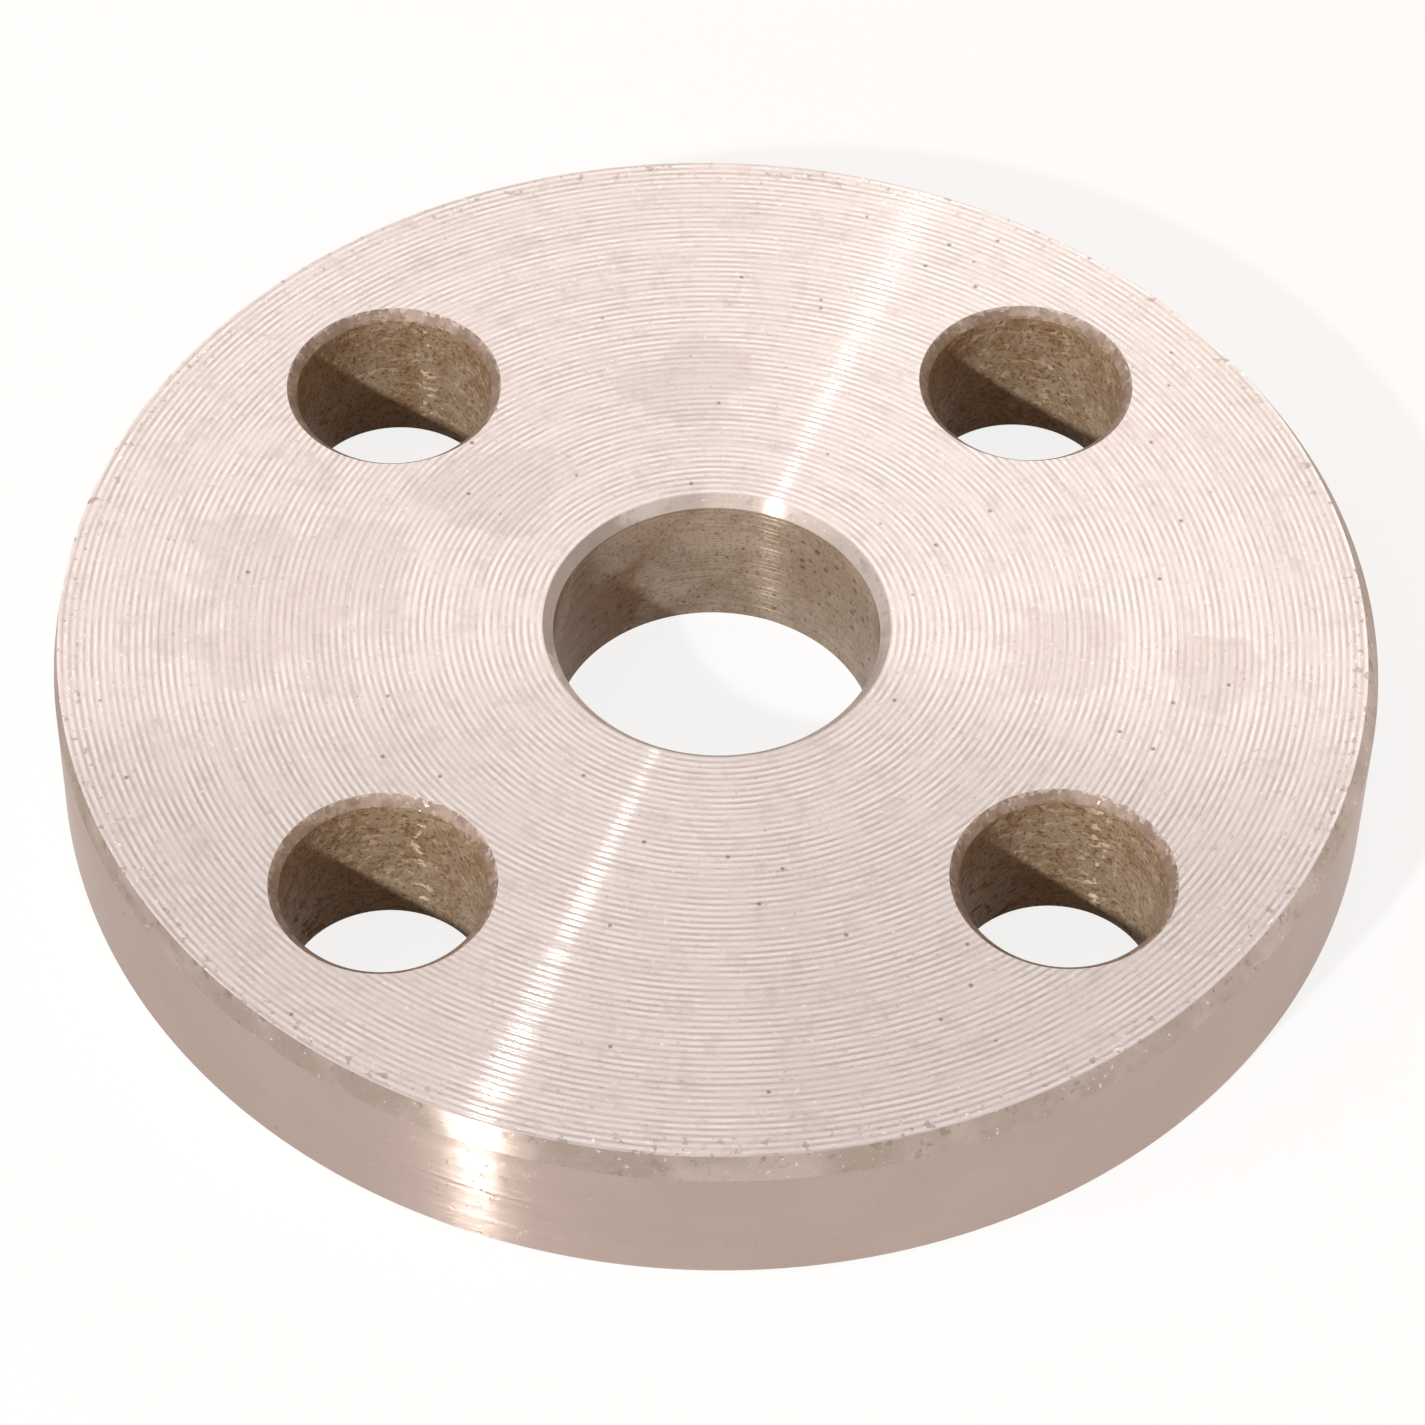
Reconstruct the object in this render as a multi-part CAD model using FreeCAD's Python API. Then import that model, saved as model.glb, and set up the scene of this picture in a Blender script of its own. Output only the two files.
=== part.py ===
import FreeCAD, Part
import math
import os

# Flat steel plate flange: a turned disc with a pipe bore and four bolt holes, in millimetres.
# The origin is on the bore's axis at the back face, and +Z points out of the gasket face.

# The disc
outer_diameter = 95.0
thickness = 12.7

# The pipe bore
bore_diameter = 23.5

# The bolt holes
bolt_circle_diameter = 66.5
bolt_hole_diameter = 14.5
bolt_hole_count = 4
first_hole_angle = 45.0

# The edges of the gasket face, as turned or countersunk
rim_chamfer_width = 0.6
rim_chamfer_depth = 1.7
bore_chamfer = 0.75
bolt_hole_chamfer = 0.7

# Every edge of the back face is only broken
back_edge_break = 0.3

# How far a cutting tool runs past each face
clear_of_face = 2.0

outer_radius = outer_diameter / 2
bore_radius = bore_diameter / 2
bolt_hole_radius = bolt_hole_diameter / 2


def turned(section_points):
    """A closed section of (radius, height) points, turned about the Z axis."""
    corners = [FreeCAD.Vector(radius, 0, height) for radius, height in section_points]
    section = Part.Face(Part.makePolygon(corners + corners[:1]))
    return section.revolve(FreeCAD.Vector(0, 0, 0), FreeCAD.Vector(0, 0, 1), 360)


def disc():
    """The faced disc: its rim wall, and the steep chamfer between rim and gasket face."""
    return turned([
        (0, 0),
        (outer_radius - back_edge_break, 0),
        (outer_radius, back_edge_break),
        (outer_radius, thickness - rim_chamfer_depth),
        (outer_radius - rim_chamfer_width, thickness),
        (0, thickness),
    ])


def hole_cutter(radius, face_chamfer):
    """What a hole removes: its bore, the chamfer at the gasket face and the broken back edge."""
    face_mouth = radius + face_chamfer + clear_of_face
    back_mouth = radius + back_edge_break + clear_of_face
    return turned([
        (0, -clear_of_face),
        (back_mouth, -clear_of_face),
        (radius, back_edge_break),
        (radius, thickness - face_chamfer),
        (face_mouth, thickness + clear_of_face),
        (0, thickness + clear_of_face),
    ])


def bolt_hole_cutters():
    """One cutter for each bolt hole, evenly spaced on the bolt circle."""
    cutters = []
    for index in range(bolt_hole_count):
        angle = math.radians(first_hole_angle + index * 360 / bolt_hole_count)
        cutter = hole_cutter(bolt_hole_radius, bolt_hole_chamfer)
        cutter.translate(FreeCAD.Vector(math.cos(angle), math.sin(angle), 0) * (bolt_circle_diameter / 2))
        cutters.append(cutter)
    return cutters


def flange_plate():
    """The whole flange: the disc less the pipe bore and the bolt holes."""
    pipe_bore_cutter = hole_cutter(bore_radius, bore_chamfer)
    return disc().cut([pipe_bore_cutter] + bolt_hole_cutters())


os.makedirs("parts", exist_ok=True)
flange_plate().exportStep("parts/flange_plate.step")
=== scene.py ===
import bpy
import math
from mathutils import Matrix, Vector


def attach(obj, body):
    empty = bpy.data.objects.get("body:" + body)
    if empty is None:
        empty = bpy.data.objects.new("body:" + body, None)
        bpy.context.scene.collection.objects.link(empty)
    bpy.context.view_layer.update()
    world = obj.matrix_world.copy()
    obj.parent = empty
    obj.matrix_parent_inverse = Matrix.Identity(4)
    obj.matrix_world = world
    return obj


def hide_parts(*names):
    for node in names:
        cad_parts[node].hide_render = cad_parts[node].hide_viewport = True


# A turned steel plate flange, in metres. The bore's axis is Z and the back face is at height zero.
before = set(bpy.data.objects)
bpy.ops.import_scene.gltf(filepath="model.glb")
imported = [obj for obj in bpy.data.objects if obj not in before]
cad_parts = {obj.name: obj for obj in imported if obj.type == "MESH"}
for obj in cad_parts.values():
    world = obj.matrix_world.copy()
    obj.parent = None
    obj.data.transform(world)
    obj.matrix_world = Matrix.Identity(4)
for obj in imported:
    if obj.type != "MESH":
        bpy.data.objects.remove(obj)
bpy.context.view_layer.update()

MM = 0.001

# The disc
RIM_RADIUS = 47.5 * MM
THICKNESS = 12.7 * MM
BORE_RADIUS = 11.75 * MM
BACK_EDGE_BREAK = 0.3 * MM
BORE_CHAMFER = 0.75 * MM
RIM_CHAMFER_WIDTH = 0.6 * MM
RIM_CHAMFER_DEPTH = 1.7 * MM

# The bolt holes, and how far their cutter runs past each face
BOLT_CIRCLE_RADIUS = 33.25 * MM
BOLT_HOLE_RADIUS = 7.25 * MM
BOLT_HOLE_CHAMFER = 0.7 * MM
BOLT_HOLE_COUNT = 4
FIRST_HOLE_ANGLE = math.radians(45)
CLEAR_OF_FACE = 1 * MM

# The facing cut: the tool's feed a turn, how deep it scallops the face, and the plain land before it
FEED = 0.528 * MM
SCALLOP_DEPTH = 0.006 * MM
INNER_LAND = 0.25 * MM
TURNS = 64
POINTS_A_TURN = 4
FACE_START = BORE_RADIUS + BORE_CHAMFER
CUT_START = FACE_START + INNER_LAND

# The rim chamfer was turned a little off the rim's own axis
CHAMFER_SHIFT = 0.25 * MM
CHAMFER_TILT = 0.4 * MM / RIM_RADIUS
CHAMFER_DEEP_SIDE = math.radians(223)

# How fine the mesh is, how near counts as lying on a wall or ring, and how upright a level face's normal is
CUTS_ROUND_THE_DISC = 240
CUTS_ROUND_A_HOLE = 96
MERGE_DISTANCE = 0.001 * MM
ON_IT = 0.05 * MM
LEVEL = 0.97
SHARP_EDGE = math.radians(14)


# Making the flange

def deselect_all():
    if bpy.context.object and bpy.context.object.mode == "EDIT":
        bpy.ops.object.mode_set(mode="OBJECT")
    bpy.ops.object.select_all(action="DESELECT")


def draw_section(name, corners):
    """A closed wire in the XZ plane, drawn by extruding one vertex from corner to corner."""
    deselect_all()
    points = [Vector((radius, 0, height)) for radius, height in corners]
    bpy.ops.mesh.primitive_plane_add(size=MM, location=points[0])
    section = bpy.context.object
    section.name = name
    bpy.ops.object.transform_apply(location=True, rotation=True, scale=True)
    bpy.ops.object.mode_set(mode="EDIT")
    bpy.ops.mesh.select_all(action="SELECT")
    bpy.ops.mesh.merge(type="CENTER")
    for here, there in zip(points, points[1:] + points[:1]):
        bpy.ops.mesh.extrude_region_move(TRANSFORM_OT_translate={"value": there - here})
    bpy.ops.mesh.select_all(action="SELECT")
    bpy.ops.mesh.remove_doubles(threshold=MERGE_DISTANCE)
    return section


def turn(steps):
    """Spins the wire in edit mode round the Z axis and closes it."""
    bpy.ops.mesh.select_all(action="SELECT")
    bpy.ops.mesh.spin(steps=steps, angle=math.tau, center=(0, 0, 0), axis=(0, 0, 1))
    bpy.ops.mesh.select_all(action="SELECT")
    bpy.ops.mesh.remove_doubles(threshold=MERGE_DISTANCE)
    bpy.ops.mesh.normals_make_consistent(inside=False)


def faced_line():
    """The gasket face in section: a plain land, then one shallow scallop for each turn of the tool."""
    line = [(FACE_START, THICKNESS)]
    for point in range(TURNS * POINTS_A_TURN + 1):
        across = point % POINTS_A_TURN * 2 / POINTS_A_TURN - 1
        depth = SCALLOP_DEPTH * (1 - across * across)
        line.append((CUT_START + point * FEED / POINTS_A_TURN, THICKNESS - depth))
    return line


def select_ring(piece, radius, height):
    """Selects the vertices that lie on a circle about the Z axis."""
    bpy.ops.mesh.select_all(action="DESELECT")
    bpy.ops.object.mode_set(mode="OBJECT")
    for vertex in piece.data.vertices:
        away = math.hypot(vertex.co.xy.length - radius, vertex.co.z - height)
        vertex.select = away < ON_IT
    bpy.ops.object.mode_set(mode="EDIT")


def turned_disc():
    """The disc and its pipe bore, turned from one section."""
    chamfer_foot = THICKNESS - RIM_CHAMFER_DEPTH
    section = [
        (BORE_RADIUS + BACK_EDGE_BREAK, 0),
        (BORE_RADIUS, BACK_EDGE_BREAK),
        (BORE_RADIUS, THICKNESS - BORE_CHAMFER),
        *faced_line(),
        (RIM_RADIUS - RIM_CHAMFER_WIDTH, THICKNESS),
        (RIM_RADIUS, chamfer_foot),
        (RIM_RADIUS, BACK_EDGE_BREAK),
        (RIM_RADIUS - BACK_EDGE_BREAK, 0),
    ]
    disc = draw_section("flange", section)
    turn(CUTS_ROUND_THE_DISC)
    select_ring(disc, RIM_RADIUS - RIM_CHAMFER_WIDTH, THICKNESS)
    bpy.ops.transform.translate(value=(-CHAMFER_SHIFT, 0, 0))
    select_ring(disc, RIM_RADIUS, chamfer_foot)
    for axis, share in (("X", math.sin(CHAMFER_DEEP_SIDE)), ("Y", -math.cos(CHAMFER_DEEP_SIDE))):
        bpy.ops.transform.rotate(
            value=CHAMFER_TILT * share, orient_axis=axis, center_override=(0, 0, chamfer_foot))
    bpy.ops.object.mode_set(mode="OBJECT")
    return disc


def select_end(piece, side):
    """Selects a cylinder's upper end where side is 1, and its lower end where side is -1."""
    bpy.ops.object.mode_set(mode="OBJECT")
    for part in (piece.data.vertices, piece.data.edges):
        part.foreach_set("select", [False] * len(part))
    for face in piece.data.polygons:
        face.select = face.normal.z * side > LEVEL
    bpy.ops.object.mode_set(mode="EDIT")


def drill():
    """A drill with its countersink and back-edge cutter in one, standing on the flange's axis."""
    deselect_all()
    wall_top = THICKNESS - BOLT_HOLE_CHAMFER
    bpy.ops.mesh.primitive_cylinder_add(
        vertices=CUTS_ROUND_A_HOLE, radius=BOLT_HOLE_RADIUS, depth=wall_top - BACK_EDGE_BREAK,
        location=(0, 0, (wall_top + BACK_EDGE_BREAK) / 2))
    cutter = bpy.context.object
    cutter.name = "drill"
    bpy.ops.object.transform_apply(location=True, rotation=True, scale=True)
    for side, flare in ((1, BOLT_HOLE_CHAMFER), (-1, BACK_EDGE_BREAK)):
        select_end(cutter, side)
        reach = flare + CLEAR_OF_FACE
        bpy.ops.mesh.extrude_region_move(TRANSFORM_OT_translate={"value": (0, 0, side * reach)})
        wider = 1 + reach / BOLT_HOLE_RADIUS
        bpy.ops.transform.resize(value=(wider, wider, 1))
    bpy.ops.mesh.select_all(action="SELECT")
    bpy.ops.mesh.normals_make_consistent(inside=False)
    bpy.ops.object.mode_set(mode="OBJECT")
    return cutter


def hole_centres():
    angles = [FIRST_HOLE_ANGLE + index * math.tau / BOLT_HOLE_COUNT for index in range(BOLT_HOLE_COUNT)]
    return [Vector((math.cos(a), math.sin(a), 0)) * BOLT_CIRCLE_RADIUS for a in angles]


def drill_bolt_holes(disc):
    """Cuts the bolt holes out of the disc."""
    cutter = drill()
    for centre in hole_centres():
        cutter.location = centre
        deselect_all()
        bpy.context.view_layer.objects.active = disc
        disc.select_set(True)
        cut = disc.modifiers.new("bolt hole", "BOOLEAN")
        cut.operation = "DIFFERENCE"
        cut.solver = "EXACT"
        cut.object = cutter
        bpy.ops.object.modifier_apply(modifier=cut.name)
    bpy.data.objects.remove(cutter, do_unlink=True)


# Finishes

class Finish:
    """A steel finish as a node tree, built with short calls."""

    def __init__(self, name):
        self.material = bpy.data.materials.new(name)
        self.material.use_nodes = True
        self.tree = self.material.node_tree
        self.steel = self.tree.nodes["Principled BSDF"]
        self.place = self.add("ShaderNodeTexCoord").outputs["Object"]
        self.facing = self.add("ShaderNodeNewGeometry").outputs["Normal"]
        self.upright = self.add("ShaderNodeCombineXYZ", 0.0, 0.0, 1.0).outputs[0]
        parts = self.add("ShaderNodeSeparateXYZ", self.place).outputs
        flat = self.add("ShaderNodeCombineXYZ", parts[0], parts[1], 0.0)
        self.height = parts[2]
        self.radius = self.measure("LENGTH", flat)
        self.outward = self.vector("NORMALIZE", flat)

    def add(self, kind, *inputs, **settings):
        made = self.tree.nodes.new(kind)
        for key, value in settings.items():
            setattr(made, key, value)
        for index, value in enumerate(inputs):
            self.plug(made.inputs[index], value)
        return made

    def plug(self, socket, value):
        """Links a node's or a socket's output to a socket, or sets the socket to a plain value."""
        if value is None:
            return
        if hasattr(value, "outputs"):
            value = value.outputs[0]
        if isinstance(value, bpy.types.NodeSocket):
            self.tree.links.new(value, socket)
        else:
            socket.default_value = value

    def math(self, operation, *values):
        return self.add("ShaderNodeMath", *values, operation=operation).outputs[0]

    def product(self, first, *others):
        for other in others:
            first = self.math("MULTIPLY", first, other)
        return first

    def vector(self, operation, *values):
        return self.add("ShaderNodeVectorMath", *values, operation=operation).outputs[0]

    def scaled(self, vector, scale):
        made = self.add("ShaderNodeVectorMath", vector, operation="SCALE")
        self.plug(made.inputs["Scale"], scale)
        return made.outputs[0]

    def measure(self, operation, *values):
        """The length of a vector, or the distance between two."""
        return self.add("ShaderNodeVectorMath", *values, operation=operation).outputs["Value"]

    def spread(self, value, low, high, to_low=0.0, to_high=1.0):
        """A smooth step of value from to_low at low to to_high at high."""
        reach = (low, high, to_low, to_high)
        return self.add("ShaderNodeMapRange", value, *reach, interpolation_type="SMOOTHSTEP").outputs[0]

    def centred(self, value, reach):
        """A value from 0 to 1, set about zero and stretched to a whole reach."""
        return self.math("MULTIPLY_ADD", value, reach, -reach / 2)

    def noise(self, size, detail=3.0, rough=0.5, where=None):
        """Cloudy noise from 0 to 1, with clouds about size across."""
        made = self.add("ShaderNodeTexNoise", noise_dimensions="3D")
        self.plug(made.inputs["Vector"], self.place if where is None else where)
        self.plug(made.inputs["Scale"], 1 / size)
        self.plug(made.inputs["Detail"], detail)
        self.plug(made.inputs["Roughness"], rough)
        return made.outputs["Fac"]

    def lathe_noise(self, across, width, turns, detail, rough):
        """Noise drawn out round the axis, width wide across the cut. More turns make it shorter."""
        circle = self.add("ShaderNodeSeparateXYZ", self.scaled(self.outward, turns)).outputs
        rings = self.math("DIVIDE", across, width)
        where = self.add("ShaderNodeCombineXYZ", circle[0], circle[1], rings)
        return self.noise(1.0, detail, rough, where)

    def groove_wave(self, start, pitch, wander):
        """A smooth wave: 1 on each ridge between two turns of the tool and 0 in the middle of a turn."""
        drift = self.centred(self.noise(4 * MM, detail=1.0), wander)
        from_start = self.math("SUBTRACT", self.math("ADD", self.radius, drift), start)
        turn = self.math("FRACT", self.math("DIVIDE", from_start, pitch))
        return self.spread(self.math("ABSOLUTE", self.centred(turn, 2.0)), 0.0, 1.0)

    def pits(self, spacing, size, share):
        """Small pits, one in a share of the cells of a loose grid: 1 in a pit, 0 elsewhere."""
        cells = self.add("ShaderNodeTexVoronoi", voronoi_dimensions="3D", feature="F1")
        self.plug(cells.inputs["Vector"], self.place)
        cells.inputs["Scale"].default_value = 1 / spacing
        cells.inputs["Randomness"].default_value = 1.0
        chosen = self.math("LESS_THAN", self.add("ShaderNodeSeparateColor", cells.outputs["Color"]), share)
        edge = size / spacing
        return self.product(chosen, self.spread(cells.outputs["Distance"], edge, edge / 2))

    def lie_near(self, spots, ragged):
        """Where a few stains lie, each a middle and a radius: 1 inside, 0 outside, with ragged edges."""
        covered = 0.0
        for *middle, radius in spots:
            away = self.math("DIVIDE", self.measure("DISTANCE", self.place, tuple(middle)), radius)
            inside = self.spread(self.math("ADD", away, ragged), 1.14, 0.86)
            covered = self.math("MAXIMUM", inside, covered)
        return covered

    def chance(self, across, width):
        """A random number from 0 to 1 for each narrow ring, width wide, that the tool's edge leaves."""
        made = self.add("ShaderNodeTexWhiteNoise", noise_dimensions="1D")
        self.plug(made.inputs["W"], self.math("FLOOR", self.math("DIVIDE", across, width)))
        return made.outputs["Value"]

    def torn(self, across, width, level_share, onward, backward):
        """How each ring leans: a share of them is level, and the rest lean onward or backward."""
        chance = self.chance(across, width)
        back = self.spread(chance, 0.5 - level_share / 2, 0.0, 0.0, backward)
        on = self.spread(chance, 0.5 + level_share / 2, 1.0, 0.0, onward)
        return self.math("SUBTRACT", on, back)

    def cut_marks(self, lean, across):
        """The direction the steel faces, tipped to and fro across the cut by the marks of the tool."""
        tipped = self.vector("ADD", self.facing, self.scaled(across, lean))
        return self.vector("NORMALIZE", tipped)

    def relief(self, height, depth, under=None):
        """A bump whose full height is depth."""
        made = self.add("ShaderNodeBump")
        made.inputs["Strength"].default_value = 1.0
        made.inputs["Distance"].default_value = depth
        self.plug(made.inputs["Height"], height)
        self.plug(made.inputs["Normal"], under)
        return made.outputs["Normal"]

    def blend(self, share, first, second):
        """A colour between two."""
        made = self.add("ShaderNodeMix", data_type="RGBA")
        self.plug(made.inputs["Factor"], share)
        self.plug(made.inputs[6], colour(first))
        self.plug(made.inputs[7], colour(second))
        return made.outputs[2]

    def coat(self, base, cover, strength, paint):
        """The base with another colour over it where cover is 1, as strong as strength."""
        return self.blend(self.product(cover, strength), base, paint)

    def finish(self, base, roughness, normal, anisotropy=0.0, grain=None,
               metal=1.0, shine=0.5, tint=(1.0, 1.0, 1.0)):
        self.steel.inputs["Metallic"].default_value = metal
        self.steel.inputs["Specular IOR Level"].default_value = shine
        self.steel.inputs["Specular Tint"].default_value = colour(tint)
        self.steel.inputs["Anisotropic"].default_value = anisotropy
        self.plug(self.steel.inputs["Base Color"], base)
        self.plug(self.steel.inputs["Roughness"], roughness)
        self.plug(self.steel.inputs["Normal"], normal)
        self.plug(self.steel.inputs["Tangent"], grain)
        return self.material


def colour(value):
    """Three parts of a colour get a fourth, and a socket stays as it is."""
    return (*value, 1.0) if isinstance(value, tuple) else value


# The stains, each with its middle and its radius; those in the bore and on the bore chamfer's left are partly
# painted shade
FACE_STAINS = [
    (-1.0 * MM, 23.5 * MM, THICKNESS, 4.6 * MM),
    (-30.5 * MM, 3.5 * MM, THICKNESS, 8.5 * MM),
    (-16.0 * MM, 13.0 * MM, THICKNESS, 5.0 * MM),
    (24.5 * MM, -2.5 * MM, THICKNESS, 4.2 * MM),
    (35.0 * MM, -4.5 * MM, THICKNESS, 3.0 * MM),
    (-21.0 * MM, -28.0 * MM, THICKNESS, 4.5 * MM),
]
# The bore's stain on its lower left is rust and also painted shade, where the bore wall lies in shadow
BORE_RUST_AND_SHADE = [(-9.8 * MM, 6.5 * MM, 2.5 * MM, 6.5 * MM)]
BORE_PITTING = [(9.0 * MM, 7.5 * MM, 10.5 * MM, 4.5 * MM), (11.4 * MM, 2.5 * MM, 6.0 * MM, 4.0 * MM)]
# The bore chamfer's dark left side is a stain and painted shade, where that side lies in shadow
BORE_CHAMFER_SHADE_AND_STAIN = [(-11.3 * MM, 5.0 * MM, 12.3 * MM, 8.5 * MM)]

# What browns the steel's reflections: bare turned steel, the oily bore and the rusty bolt holes
TURNED_TINT = (0.8, 0.74, 0.71)
OILY_TINT = (0.85, 0.7, 0.55)
RUSTY_TINT = (0.8, 0.6, 0.42)


def faced_steel():
    """The gasket face: the even ridges of the facing cut, with painted sheen on their crests, painted shade
    in the valleys and painted glints in bright specks, and with dull stains, nicks and small pits.
    """
    f = Finish("faced steel")
    streaks = f.lathe_noise(f.radius, width=0.7 * MM, turns=7.0, detail=2.0, rough=0.5)
    speckle = f.lathe_noise(f.radius, width=0.3 * MM, turns=70.0, detail=2.0, rough=0.6)
    patches = f.spread(f.noise(1.7 * MM, detail=4.0, rough=0.65), 0.50, 0.68)
    dull = f.lie_near(FACE_STAINS, f.centred(f.noise(5 * MM, detail=4.0, rough=0.6), 2.6))
    pitted = f.pits(spacing=2.0 * MM, size=0.22 * MM, share=0.3)

    # The ridges, whose crests carry painted sheen, and the valleys between them, which carry painted shade,
    # weaker in places
    ridge = f.groove_wave(CUT_START, FEED, wander=0.1 * MM)
    uneven = f.spread(f.noise(3.2 * MM, rough=0.6), 0.38, 0.60, 0.45, 1.15)
    strength = f.product(f.spread(streaks, 0.3, 0.65, 0.55, 1.0), uneven)
    crest_and_sheen = f.product(f.spread(ridge, 0.45, 1.0), strength, f.spread(dull, 0.0, 1.0, 1.0, 0.7))
    valley_shade = f.product(f.spread(ridge, 0.42, 0.0), strength)

    # More wear, nicks and painted glints near the rim
    rim_side = f.spread(f.radius, RIM_RADIUS - 3 * MM, RIM_RADIUS - 1 * MM)
    worn = f.spread(rim_side, 0.0, 1.0, 0.6, 1.0)
    nicked = f.product(f.spread(f.noise(0.9 * MM, rough=0.6), 0.60, 0.65), rim_side)
    dark_specks = f.product(f.spread(speckle, 0.62, 0.78), worn)
    # Painted glints: bright specks along the rings, more of them near the rim
    painted_glints = f.product(f.spread(speckle, 0.36, 0.22), worn)

    base = f.blend(f.spread(streaks, 0.3, 0.7), (0.665, 0.565, 0.525), (0.625, 0.525, 0.485))
    # Painted sheen: the ridge crests lighter
    base = f.coat(base, crest_and_sheen, 1.0, (0.75, 0.67, 0.635))
    # Painted shade: the groove valleys darker
    base = f.coat(base, valley_shade, 1.0, (0.495, 0.40, 0.36))
    base = f.coat(base, patches, 0.28, (0.47, 0.37, 0.33))
    base = f.coat(base, dull, 0.25, (0.53, 0.43, 0.385))
    base = f.coat(base, dark_specks, 1.0, (0.36, 0.27, 0.23))
    # Painted glints
    base = f.coat(base, painted_glints, 1.0, (0.92, 0.86, 0.83))
    base = f.coat(base, nicked, 0.6, (0.30, 0.23, 0.19))
    base = f.coat(base, pitted, 0.8, (0.22, 0.16, 0.13))

    lean = f.torn(f.radius, width=0.003 * MM, level_share=0.69, onward=0.88, backward=1.03)
    marks = f.cut_marks(f.product(lean, f.spread(ridge, 0.0, 0.8, 0.78, 1.0)), f.outward)
    rough = f.spread(dull, 0.0, 1.0, 0.14, 0.17)
    return f.finish(base, rough, f.relief(crest_and_sheen, 0.0015 * MM, marks), anisotropy=1.0, grain=f.outward)


def turned_rim():
    """The rim wall: a fine turned surface, duller than the face, its base colour browner and darker than the
    face's, the darkness painted shade.
    """
    f = Finish("turned rim")
    clouds = f.spread(f.noise(9 * MM), 0.35, 0.7)
    blotches = f.noise(0.9 * MM, rough=0.6)
    pitted = f.pits(spacing=2.6 * MM, size=0.2 * MM, share=0.14)
    # Painted shade: the base colour is kept darker than the face's, for the darker surroundings the wall
    # reflects
    base = f.blend(clouds, (0.485, 0.38, 0.33), (0.51, 0.40, 0.35))
    base = f.coat(base, pitted, 0.6, (0.2, 0.15, 0.11))
    lean = f.torn(f.height, width=0.001 * MM, level_share=0.64, onward=1.0, backward=1.0)
    rough = f.spread(blotches, 0.60, 0.68, 0.235, 0.29)
    return f.finish(base, rough, f.cut_marks(lean, f.upright), anisotropy=0.8, grain=f.upright,
                    tint=TURNED_TINT)


def turned_chamfer():
    """The rim and bore chamfers: fine cuts, with stains in places and nicked edges; on the bore chamfer's
    left, painted shade with a stain.
    """
    f = Finish("turned chamfer")
    clouds = f.noise(5 * MM, rough=0.55)
    spots = f.spread(f.noise(2.2 * MM, detail=4.0, rough=0.6), 0.58, 0.70)
    nicks = f.noise(0.45 * MM, rough=0.6)
    dents = f.spread(f.noise(1.2 * MM, rough=0.65), 0.58, 0.63)
    edge_side = f.spread(f.height, THICKNESS - 0.9 * MM, THICKNESS - 0.3 * MM)
    bore_side = f.spread(f.measure("LENGTH", f.place), 25 * MM, 20 * MM)
    shade_and_stain = f.lie_near(BORE_CHAMFER_SHADE_AND_STAIN, f.centred(clouds, 1.6))

    base = f.blend(f.spread(clouds, 0.35, 0.7), (0.42, 0.33, 0.275), (0.54, 0.435, 0.38))
    base = f.coat(base, spots, 0.5, (0.26, 0.21, 0.15))
    base = f.coat(base, f.spread(nicks, 0.62, 0.72), 0.6, (0.24, 0.18, 0.14))
    base = f.coat(base, f.spread(nicks, 0.36, 0.28), 0.7, (0.85, 0.76, 0.72))
    base = f.coat(base, f.product(dents, edge_side), 0.6, (0.27, 0.205, 0.165))
    base = f.coat(base, bore_side, 0.3, (0.78, 0.68, 0.62))
    # Painted shade, with a stain: darkens the bore chamfer's shadowed left side
    base = f.coat(base, shade_and_stain, 0.75, (0.29, 0.22, 0.175))

    lean = f.spread(f.chance(f.height, width=0.003 * MM), 0.2, 0.6, 0.0, 0.64)
    rough = f.spread(clouds, 0.3, 0.7, 0.19, 0.22)
    return f.finish(base, rough, f.cut_marks(lean, f.upright), anisotropy=1.0, grain=f.upright,
                    tint=TURNED_TINT)


def bored_steel():
    """The pipe bore: fine feed lines, brown oil film, stains and scattered rust pits, and a rust stain on the
    lower left that is partly painted shade.
    """
    f = Finish("bored steel")
    feed_lines = f.lathe_noise(f.height, width=0.5 * MM, turns=3.0, detail=3.0, rough=0.6)
    clouds = f.noise(5 * MM, detail=4.0, rough=0.65)
    grit = f.noise(0.3 * MM, rough=0.7)
    small_pits = f.pits(spacing=1.1 * MM, size=0.2 * MM, share=0.4)
    large_pits = f.pits(spacing=0.9 * MM, size=0.32 * MM, share=0.45)
    ragged = f.centred(clouds, 2.0)
    rust_and_shade = f.lie_near(BORE_RUST_AND_SHADE, ragged)
    pitted = f.lie_near(BORE_RUST_AND_SHADE + BORE_PITTING, ragged)

    base = f.blend(f.spread(clouds, 0.38, 0.62), (0.325, 0.242, 0.176), (0.455, 0.366, 0.295))
    # Rust colour and painted shade: browns the bore's shadowed lower left
    base = f.coat(base, rust_and_shade, 0.8, (0.29, 0.15, 0.06))
    base = f.coat(base, f.spread(feed_lines, 0.45, 0.8), 0.3, (0.28, 0.19, 0.12))
    base = f.coat(base, f.spread(grit, 0.52, 0.66), 0.65, (0.17, 0.10, 0.05))
    base = f.coat(base, f.spread(grit, 0.42, 0.28), 0.5, (0.56, 0.46, 0.38))
    base = f.coat(base, small_pits, 0.75, (0.12, 0.07, 0.035))
    base = f.coat(base, f.product(large_pits, pitted), 0.8, (0.10, 0.055, 0.025))

    lean = f.torn(f.height, width=0.02 * MM, level_share=0.4, onward=0.75, backward=0.6)
    normal = f.relief(grit, 0.015 * MM, f.cut_marks(lean, f.upright))
    rough = f.spread(clouds, 0.3, 0.7, 0.22, 0.27)
    return f.finish(base, rough, normal, anisotropy=1.0, grain=f.upright,
                    metal=0.15, shine=0.27, tint=OILY_TINT)


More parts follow.
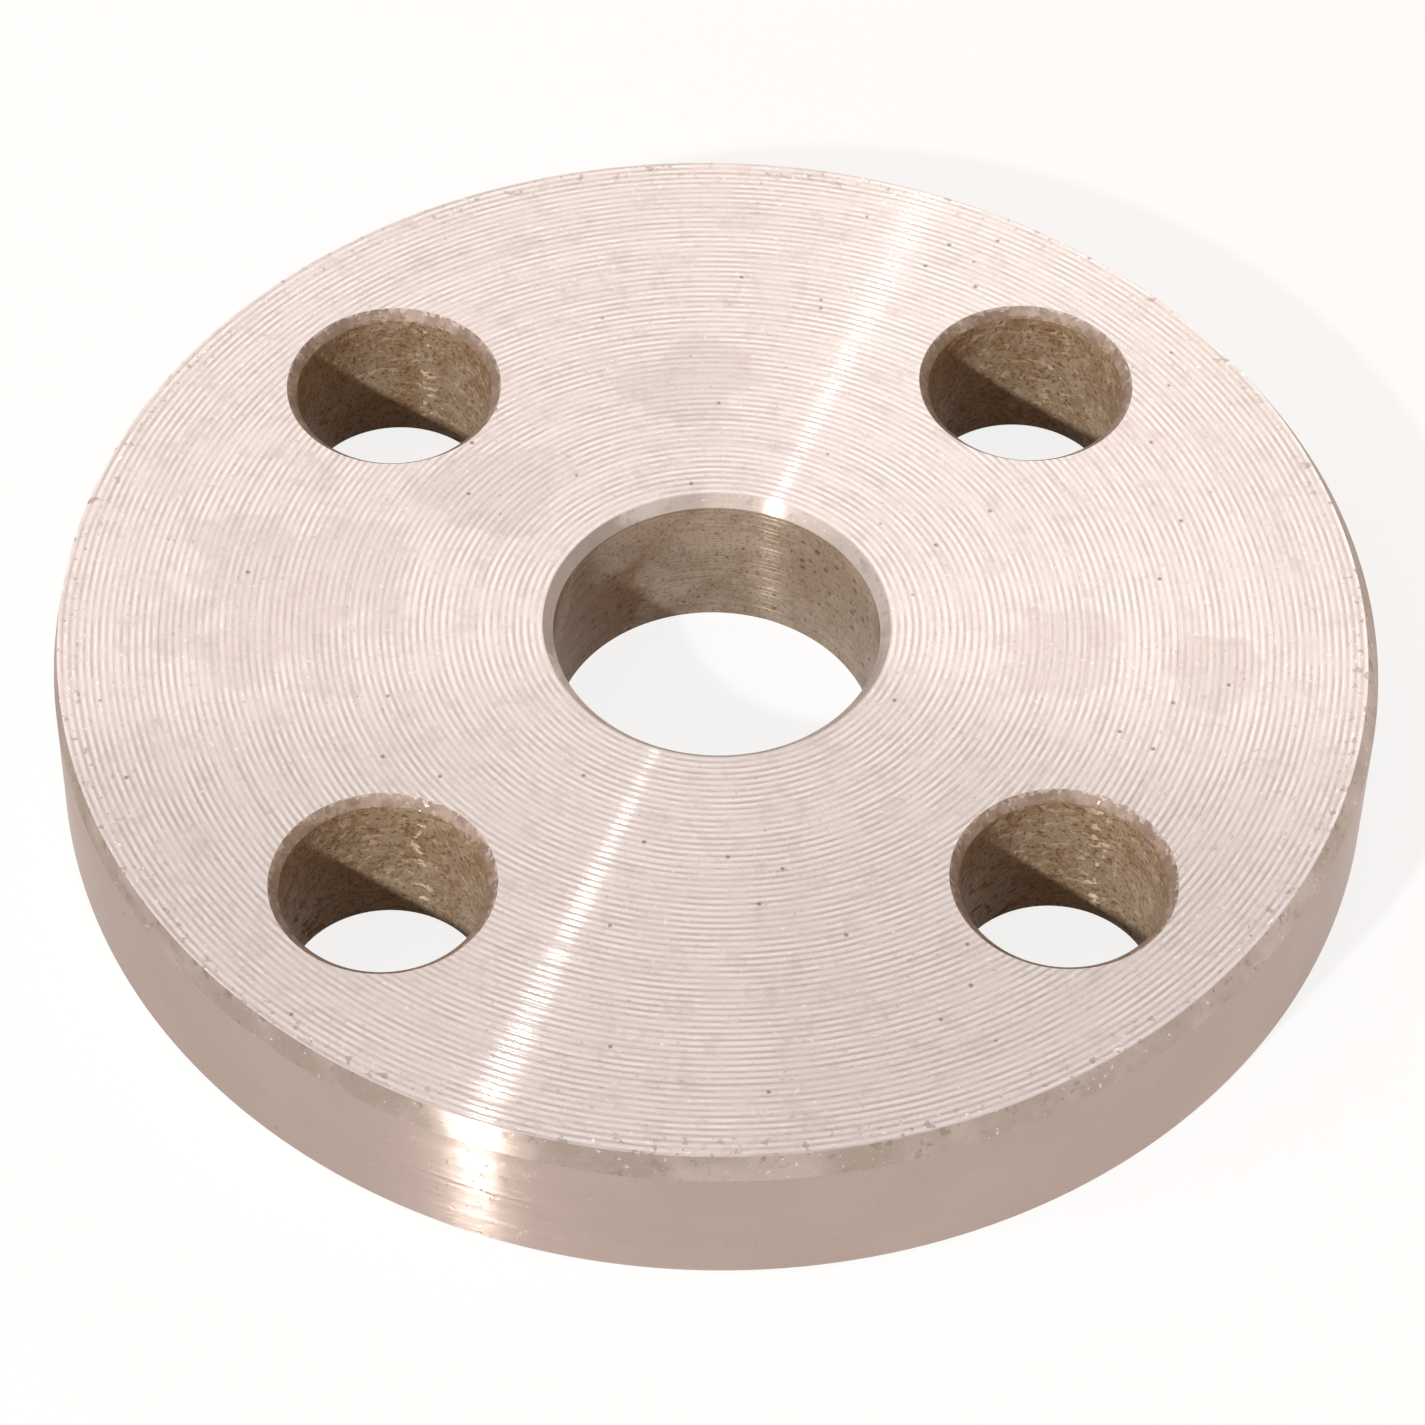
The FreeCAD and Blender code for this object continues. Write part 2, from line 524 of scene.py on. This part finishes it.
def drilled_steel():
    """The bolt holes: a rough drilled wall, speckled brown, torn in short rows by the drill."""
    f = Finish("drilled steel")
    flattened = f.vector("MULTIPLY", f.place, (1.0, 1.0, 1.7))
    rows = f.spread(f.noise(1.1 * MM, rough=0.6, where=flattened), 0.54, 0.62)
    grit = f.noise(0.36 * MM, detail=2.0, rough=0.7)
    clouds = f.spread(f.noise(2.2 * MM, detail=4.0, rough=0.65), 0.35, 0.65)

    base = f.blend(clouds, (0.285, 0.185, 0.104), (0.375, 0.285, 0.20))
    base = f.coat(base, f.spread(grit, 0.52, 0.66), 0.8, (0.14, 0.07, 0.03))
    base = f.coat(base, f.spread(grit, 0.44, 0.30), 0.35, (0.58, 0.50, 0.39))
    base = f.coat(base, rows, 0.12, (0.60, 0.54, 0.46))

    off_the_rows = f.spread(rows, 0.0, 0.8, 1.0, 0.1)
    normal = f.relief(f.product(grit, off_the_rows), 0.07 * MM, f.cut_marks(rows, f.upright))
    rough = f.spread(rows, 0.0, 1.0, 0.45, 0.26)
    return f.finish(base, rough, normal, metal=0.0, shine=0.14, tint=RUSTY_TINT)


def countersunk_steel():
    """The bolt holes' mouths: a countersink worn dull, ragged at both edges, with a few bright burrs."""
    f = Finish("countersunk steel")
    grit = f.noise(0.7 * MM, rough=0.7)
    clouds = f.spread(f.noise(1.8 * MM, rough=0.6), 0.38, 0.62)
    share_down = f.math("DIVIDE", f.math("SUBTRACT", THICKNESS, f.height), BOLT_HOLE_CHAMFER)
    ragged = f.math("ADD", share_down, f.centred(f.noise(0.5 * MM, detail=2.0, rough=0.6), 2.4))
    lower_edge = f.spread(ragged, 0.88, 0.98)
    upper_edge = f.spread(ragged, 0.16, 0.04)

    base = f.blend(clouds, (0.25, 0.19, 0.15), (0.36, 0.285, 0.24))
    base = f.coat(base, f.spread(grit, 0.52, 0.68), 0.6, (0.19, 0.135, 0.10))
    base = f.coat(base, f.spread(grit, 0.42, 0.30), 0.4, (0.56, 0.48, 0.43))
    base = f.coat(base, lower_edge, 0.8, (0.22, 0.145, 0.09))
    base = f.coat(base, upper_edge, 0.6, (0.62, 0.54, 0.49))

    rough = f.spread(grit, 0.60, 0.66, 0.6, 0.28)
    return f.finish(base, rough, f.relief(grit, 0.03 * MM), metal=0.2, shine=0.35)


def past_bolt_hole(point):
    """How far outside the wall of the nearest bolt hole a point lies."""
    flat = Vector((point.x, point.y, 0))
    return min((flat - centre).length for centre in hole_centres()) - BOLT_HOLE_RADIUS


def finish_of(face):
    """The finish that a face of the flange has, from its place and direction."""
    if abs(face.normal.z) > LEVEL:
        return "faced steel"
    past_hole = past_bolt_hole(face.center)
    if past_hole < ON_IT:
        return "drilled steel"
    if past_hole < BOLT_HOLE_CHAMFER:
        return "countersunk steel"
    radius = face.center.xy.length
    if radius < BORE_RADIUS + ON_IT:
        return "bored steel"
    if radius > RIM_RADIUS - ON_IT:
        return "turned rim"
    return "turned chamfer"


def give_finishes(disc):
    """One material slot for each finish, and each face in its own."""
    finishes = (faced_steel, turned_rim, turned_chamfer, bored_steel, drilled_steel, countersunk_steel)
    disc.data.materials.clear()
    for make in finishes:
        disc.data.materials.append(make())
    places = {material.name: index for index, material in enumerate(disc.data.materials)}
    for face in disc.data.polygons:
        face.material_index = places[finish_of(face)]


# The studio

CAMERA_TARGET = Vector((-0.29, -3.22, 6.5)) * MM
CAMERA_DISTANCE = 402.7 * MM
CAMERA_HEIGHT_ANGLE = math.radians(49.98)
CAMERA_SIDE_ANGLE = math.radians(-92.22)
CAMERA_ROLL = math.radians(1.37)
LENS_MM = 140.96
SENSOR_MM = 36.0
NEAREST_SEEN = 10 * MM
FARTHEST_SEEN = 20.0

# The light that falls on the flange from all round, and how white the floor looks
ROOM_TINT = (1.14, 0.75, 0.47)
ROOM_LIGHT = 0.39
WHITE = (1.0, 1.0, 1.0)
FLOOR_COLOUR = 0.16
FLOOR_WHITENING = 0.845
FLOOR_RADIUS = 4.0
FLOOR_DROP = 0.02 * MM

# Each lamp's side and height in degrees, its distance and size, and its watts
LAMPS = {
    "front left lamp": (233.5, 37, 0.9, 0.035, 6.2),
    "back lamp": (90, 35, 0.3, 0.2, 0.065),
    "back right lamp": (60, 35, 0.3, 0.2, 0.022),
    "top lamp": (180, 75, 0.3, 0.2, 0.086),
}


def direction(side_angle, height_angle):
    """The unit vector at these angles round the Z axis from +X and above the floor."""
    flat = math.cos(height_angle)
    return Vector((math.cos(side_angle) * flat, math.sin(side_angle) * flat, math.sin(height_angle)))


def stand_camera():
    """The camera at the photograph's angle, rolled as the photograph is."""
    back = direction(CAMERA_SIDE_ANGLE, CAMERA_HEIGHT_ANGLE)
    right = Vector((0, 0, 1)).cross(back).normalized()
    level = Matrix((right, back.cross(right), back)).transposed().to_4x4()
    place = Matrix.Translation(CAMERA_TARGET + back * CAMERA_DISTANCE)
    bpy.ops.object.camera_add()
    camera = bpy.context.object
    camera.matrix_world = place @ (Matrix.Rotation(CAMERA_ROLL, 4, back) @ level)
    camera.data.lens = LENS_MM
    camera.data.sensor_width = SENSOR_MM
    camera.data.clip_start = NEAREST_SEEN
    camera.data.clip_end = FARTHEST_SEEN
    bpy.context.scene.camera = camera


def hang_lamp(name, side_degrees, height_degrees, distance, size, watts):
    """A square lamp that faces the flange."""
    towards = direction(math.radians(side_degrees), math.radians(height_degrees))
    bpy.ops.object.light_add(type="AREA", location=towards * distance)
    lamp = bpy.context.object
    lamp.name = name
    lamp.data.size = size
    lamp.data.energy = watts
    lamp.rotation_mode = "QUATERNION"
    lamp.rotation_quaternion = towards.to_track_quat("Z", "Y")


def seen_or_mirrored(tree):
    """1 for what the camera sees and for what metal or glass shows of it, and 0 for light on the flange."""
    path = tree.nodes.new("ShaderNodeLightPath")
    both = path.outputs["Is Camera Ray"]
    for ray in ("Is Glossy Ray", "Is Transmission Ray"):
        larger = tree.nodes.new("ShaderNodeMath")
        larger.operation = "MAXIMUM"
        tree.links.new(both, larger.inputs[0])
        tree.links.new(path.outputs[ray], larger.inputs[1])
        both = larger.outputs[0]
    return both


def white_sheet():
    """A pale matt material that looks white, and keeps the shadow that falls on it."""
    sheet = bpy.data.materials.new("white sheet")
    sheet.use_nodes = True
    tree = sheet.node_tree
    paper = tree.nodes["Principled BSDF"]
    paper.inputs["Base Color"].default_value = colour((FLOOR_COLOUR, FLOOR_COLOUR, FLOOR_COLOUR))
    paper.inputs["Roughness"].default_value = 1.0
    paper.inputs["Specular IOR Level"].default_value = 0.0
    paper.inputs["Emission Color"].default_value = colour(WHITE)
    glow = tree.nodes.new("ShaderNodeMath")
    glow.operation = "MULTIPLY"
    glow.inputs[1].default_value = FLOOR_WHITENING
    tree.links.new(seen_or_mirrored(tree), glow.inputs[0])
    tree.links.new(glow.outputs[0], paper.inputs["Emission Strength"])
    return sheet


def lay_floor():
    """A wide flat sheet just under the flange."""
    deselect_all()
    bpy.ops.mesh.primitive_circle_add(
        vertices=64, radius=FLOOR_RADIUS, fill_type="NGON", location=(0, 0, -FLOOR_DROP))
    floor = bpy.context.object
    floor.name = "floor"
    bpy.ops.object.transform_apply(location=True, rotation=True, scale=True)
    floor.data.materials.append(white_sheet())


def light_the_room():
    """A room that looks white and gives a warm soft light, a small lamp in front and three weak wide ones."""
    world = bpy.data.worlds.new("white room")
    bpy.context.scene.world = world
    world.use_nodes = True
    tree = world.node_tree
    level = tree.nodes.new("ShaderNodeMix")
    level.data_type = "RGBA"
    level.inputs[6].default_value = colour(tuple(ROOM_LIGHT * part for part in ROOM_TINT))
    level.inputs[7].default_value = colour(WHITE)
    tree.links.new(seen_or_mirrored(tree), level.inputs["Factor"])
    tree.links.new(level.outputs[2], tree.nodes["Background"].inputs["Color"])
    for name, settings in LAMPS.items():
        hang_lamp(name, *settings)


flange = turned_disc()
drill_bolt_holes(flange)
give_finishes(flange)
deselect_all()
flange.select_set(True)
bpy.context.view_layer.objects.active = flange
bpy.ops.object.shade_smooth_by_angle(angle=SHARP_EDGE)

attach(flange, "root")
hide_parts("flange_plate")

stand_camera()
lay_floor()
light_the_room()
bpy.context.scene.view_settings.view_transform = "Standard"
